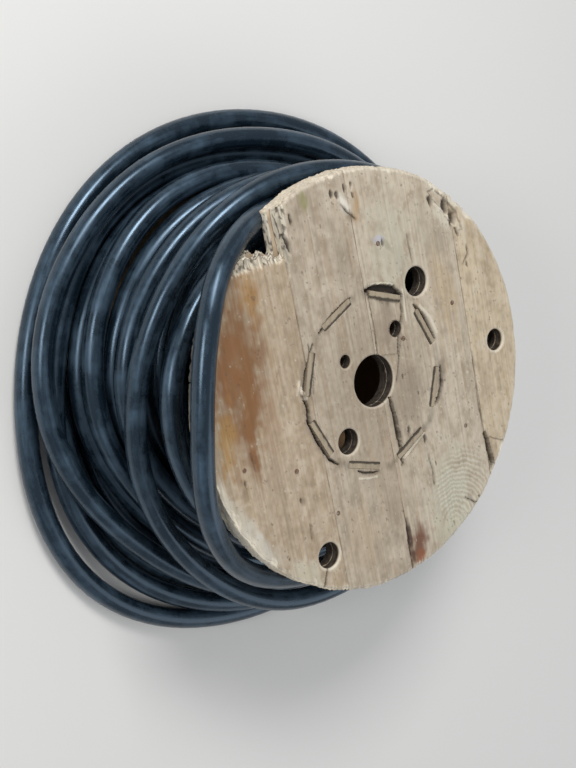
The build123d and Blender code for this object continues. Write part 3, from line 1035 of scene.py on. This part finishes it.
# %% Wear and paint the upper flange
worn_boards = []
for ply, count, skin, top in (("face", 4, FACE_SKIN, FACE_TOP), ("back", 3, BACK_SKIN, BACK_TOP)):
    for number in range(1, count + 1):
        board = finely_skinned(f"top_{ply}_board_{number}", skin, ply == "face")
        paint_board(board, carve(board, top))
        worn_boards.append(board)
for board in worn_boards:
    select_only(board)
    bpy.ops.object.shade_smooth_by_angle(angle=math.radians(50))
    board.data.materials.clear()
    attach(board, "root")
    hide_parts(board.name.removesuffix("_worn"))
    board.data.calc_loop_triangles()
    print(board.name, "triangles:", len(board.data.loop_triangles))


# %% [markdown]
# ## Pine
#
# Sawn softwood is rough and has no gloss.  Its grain is noise that is stretched along the board: thin
# lines of late wood about 2 mm apart, with dark specks between them.  One function makes the wood of
# every piece.  The worn boards bring their own paint, and the plain ones get one tone.

# %% Weathered pine
GRAIN_LINES = 430
GRAIN_LENGTH = 9
SPECKS = 620


def pine(name, tone, grain_turn, painted=False, end_tone=None):
    """Weathered pine of one tone, or with the piece's own paint.  end_tone colours the tenons' tops, with
    painted shade along their inner edges.
    """
    material, tree, shader = new_material(name)
    place = add_node(tree, "ShaderNodeTexCoord").outputs["Object"]
    along = add_node(tree, "ShaderNodeMapping", Vector=place, Rotation=(0, 0, grain_turn)).outputs[0]
    stretched = add_node(tree, "ShaderNodeMapping", Vector=along,
                         Scale=(GRAIN_LENGTH, GRAIN_LINES, GRAIN_LINES)).outputs[0]
    fine = add_node(tree, "ShaderNodeTexNoise", Vector=stretched, Scale=1, Detail=4, Roughness=0.6)
    blotch = add_node(tree, "ShaderNodeTexNoise", Vector=place, Scale=34, Detail=5, Roughness=0.6)
    speck = add_node(tree, "ShaderNodeTexNoise", Vector=place, Scale=SPECKS, Detail=3, Roughness=0.7)
    if painted:
        colour = add_node(tree, "ShaderNodeAttribute", {"attribute_name": "paint"}).outputs["Color"]
    else:
        colour = linear(tone)
    if end_tone:
        height = add_node(tree, "ShaderNodeSeparateXYZ", Vector=place).outputs["Z"]
        is_end = add_node(tree, "ShaderNodeMapRange", n0=height, n1=0.1500, n2=0.1512, n3=0.0, n4=1.0)
        mixed = add_node(tree, "ShaderNodeMix", {"data_type": "RGBA"}, n0=is_end.outputs[0], n6=colour,
                         n7=linear(end_tone))
        colour = mixed.outputs[2]
        # Painted shade along the tenons' inner edges, where the slits are.  facing is a point's distance from
        # the axis, square to its stave
        facing = 0.0
        for turn in TENON_DIRECTIONS[:4]:
            across = add_node(tree, "ShaderNodeVectorMath", {"operation": "DOT_PRODUCT"}, n0=place,
                              n1=(math.cos(turn), math.sin(turn), 0))
            either = add_node(tree, "ShaderNodeMath", {"operation": "ABSOLUTE"}, n0=across.outputs["Value"])
            facing = add_node(tree, "ShaderNodeMath", {"operation": "MAXIMUM"}, n0=facing,
                              n1=either.outputs[0]).outputs[0]
        frayed = add_node(tree, "ShaderNodeTexNoise", Vector=place, Scale=260, Detail=2)
        edge = add_node(tree, "ShaderNodeMath", {"operation": "MULTIPLY_ADD"}, n0=frayed.outputs["Fac"],
                        n1=0.002, n2=facing)
        painted_slit_shade = add_node(tree, "ShaderNodeMapRange", n0=edge.outputs[0], n1=0.0616, n2=0.0606, n3=0.0,
                         n4=0.88)
        share = add_node(tree, "ShaderNodeMath", {"operation": "MULTIPLY"}, n0=painted_slit_shade.outputs[0],
                         n1=is_end.outputs[0])
        mixed = add_node(tree, "ShaderNodeMix", {"data_type": "RGBA"}, n0=share.outputs[0], n6=colour,
                         n7=linear("2c231b"))
        colour = mixed.outputs[2]
    # Layers: value, from and to where it shows, how it blends, colour, strength
    layers = [
        (fine.outputs["Fac"], 0.50, 0.72, "DARKEN", "6f5d4a", 0.20 if painted else 0.40),
        (fine.outputs["Fac"], 0.48, 0.30, "OVERLAY", "e0d5c0", 0.18 if painted else 0.30),
        (blotch.outputs["Fac"], 0.52, 0.74, "DARKEN", "7b6c5a", 0.18 if painted else 0.45),
        (speck.outputs["Fac"], 0.66, 0.78, "DARKEN", "4a3d32", 0.45),
    ]
    for value, low, high, blend, hex_code, strength in layers:
        share = add_node(tree, "ShaderNodeMapRange", n0=value, n1=low, n2=high, n3=0.0, n4=strength)
        mixed = add_node(tree, "ShaderNodeMix", {"data_type": "RGBA", "blend_type": blend},
                         n0=share.outputs[0], n6=colour, n7=linear(hex_code))
        colour = mixed.outputs[2]
    tree.links.new(colour, shader.inputs["Base Color"])
    rough = add_node(tree, "ShaderNodeMapRange", n0=blotch.outputs["Fac"], n1=0.3, n2=0.7, n3=0.74, n4=0.93)
    tree.links.new(rough.outputs[0], shader.inputs["Roughness"])
    bump = add_node(tree, "ShaderNodeBump", Height=fine.outputs["Fac"], Strength=0.30, Distance=0.0006)
    tree.links.new(bump.outputs["Normal"], shader.inputs["Normal"])
    return material


# %% The woods of all boards and staves
painted_pine = pine("weathered_sawn_pine", None, -GRAIN, painted=True)
across_pine = pine("sheltered_cross_pine", "a08d73", -GRAIN - math.pi / 2)
along_pine = pine("sheltered_sawn_pine", "a5937a", -GRAIN)
barrel_pine = pine("sawn_stave_pine", "96795a", 0.0, end_tone="a99b84")
for board in worn_boards:
    board.data.materials.append(painted_pine)
for name, node in nodes.items():
    wood = {"base_face": along_pine, "base_back": across_pine, "barrel_st": barrel_pine}.get(name[:9])
    if wood:
        node.data.materials.clear()
        node.data.materials.append(wood)
print("painted boards:", len(worn_boards))


# %% [markdown]
# ## Nails
#
# The two plies are nailed together.  The heads are small round wire nails, driven flush, so only a few
# show, where the wood round them has weathered away.  One head is a short cylinder with a rounded edge, and
# each nail is a copy of it.  Old bright wire nails go dull brown with rust.

# %% Nail heads
NAIL_PLACES = [(92, -34), (42, 95), (57, -72), (51, -117), (-53, 78), (-29, 28), (-98, 2)]
NAIL_HEAD = 0.0019
NAIL_DEPTH = 0.0016
NAIL_LEVEL = 0.1514
NAIL_EDGE = 0.0004
bpy.ops.object.select_all(action="DESELECT")
bpy.ops.mesh.primitive_cylinder_add(vertices=20, radius=NAIL_HEAD, depth=NAIL_DEPTH, location=(0, 0, 0))
bpy.ops.object.mode_set(mode="EDIT")
bpy.ops.mesh.bevel(offset=NAIL_EDGE, segments=2)
bpy.ops.object.mode_set(mode="OBJECT")
heads = with_copies(bpy.context.object, len(NAIL_PLACES))
for head, (x, y) in zip(heads, NAIL_PLACES):
    head.data.transform(Matrix.Translation((x / 1000, y / 1000, NAIL_LEVEL)))
    head.select_set(True)
bpy.ops.object.join()
nails = bpy.context.object
nails.name = "nail_heads"
bpy.ops.object.shade_smooth_by_angle(angle=math.radians(40))


# %% Wire nail steel, dull and brown with rust
steel, tree, shader = new_material("rusted_wire_nail_steel")
place = add_node(tree, "ShaderNodeTexCoord").outputs["Object"]
rust = add_node(tree, "ShaderNodeTexNoise", Vector=place, Scale=700, Detail=4)
share = add_node(tree, "ShaderNodeMapRange", n0=rust.outputs["Fac"], n1=0.34, n2=0.52, n3=0.0, n4=1.0)
mixed = add_node(tree, "ShaderNodeMix", {"data_type": "RGBA"}, n0=share.outputs[0], n6=linear("a59c8e"),
                 n7=linear("70523c"))
tree.links.new(mixed.outputs[2], shader.inputs["Base Color"])
metal = add_node(tree, "ShaderNodeMapRange", n0=share.outputs[0], n1=0.0, n2=1.0, n3=0.9, n4=0.1)
tree.links.new(metal.outputs[0], shader.inputs["Metallic"])
shader.inputs["Roughness"].default_value = 0.55
nails.data.materials.append(steel)
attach(nails, "root")
print("nails:", len(NAIL_PLACES))


# %% [markdown]
# ## Floor and light
#
# A pale floor and soft studio light: one lamp that stands low at the top left of the picture, so that it
# rakes over the boards and draws a bright line along each turn of the cable, a softer one from the left,
# a wide one from the far side, and an even sky.  The lamps stay low enough that a colour renders about as
# it is written.  The sky is paler where only the camera sees it, which brightens the background and puts
# no more light on the drum.

# %% Floor
FLOOR_SIZE = 12.0
bpy.ops.mesh.primitive_plane_add(size=FLOOR_SIZE, location=(0, 0, -0.0002))
floor = bpy.context.object
floor.name = "floor"
paper, tree, shader = new_material("pale_floor_paper")
shader.inputs["Base Color"].default_value = linear("e9e7e3")
shader.inputs["Roughness"].default_value = 0.9
floor.data.materials.append(paper)
print("floor:", floor.name)


# %% Lamps: name, place, size, power
LAMPS = [
    ("key_lamp", (-1.25, -0.60, 1.35), 0.55, 19.5),
    ("side_lamp", (-0.20, -1.50, 0.95), 0.50, 7.0),
    ("fill_lamp", (0.90, 0.90, 1.30), 1.20, 5.0),
]
LAMP_AIM = Vector((0, 0, 0.08))
for name, place, size, power in LAMPS:
    lamp_data = bpy.data.lights.new(name, "AREA")
    lamp_data.size = size
    lamp_data.energy = power
    lamp = bpy.data.objects.new(name, lamp_data)
    bpy.context.scene.collection.objects.link(lamp)
    lamp.location = place
    lamp.rotation_mode = "QUATERNION"
    lamp.rotation_quaternion = (Vector(place) - LAMP_AIM).to_track_quat("Z", "Y")
print("lamps:", len(LAMPS))


# %% Sky
SKY_ON_DRUM = 0.40
SKY_SEEN = 0.85
sky = bpy.data.worlds.new("soft_sky")
bpy.context.scene.world = sky
sky.use_nodes = True
background = sky.node_tree.nodes["Background"]
background.inputs["Color"].default_value = linear("eef3fa")
from_camera = add_node(sky.node_tree, "ShaderNodeLightPath").outputs["Is Camera Ray"]
strength = add_node(sky.node_tree, "ShaderNodeMapRange", n0=from_camera, n1=0.0, n2=1.0,
                    n3=SKY_ON_DRUM, n4=SKY_SEEN)
sky.node_tree.links.new(strength.outputs[0], background.inputs["Strength"])
bpy.context.scene.view_settings.view_transform = "Standard"
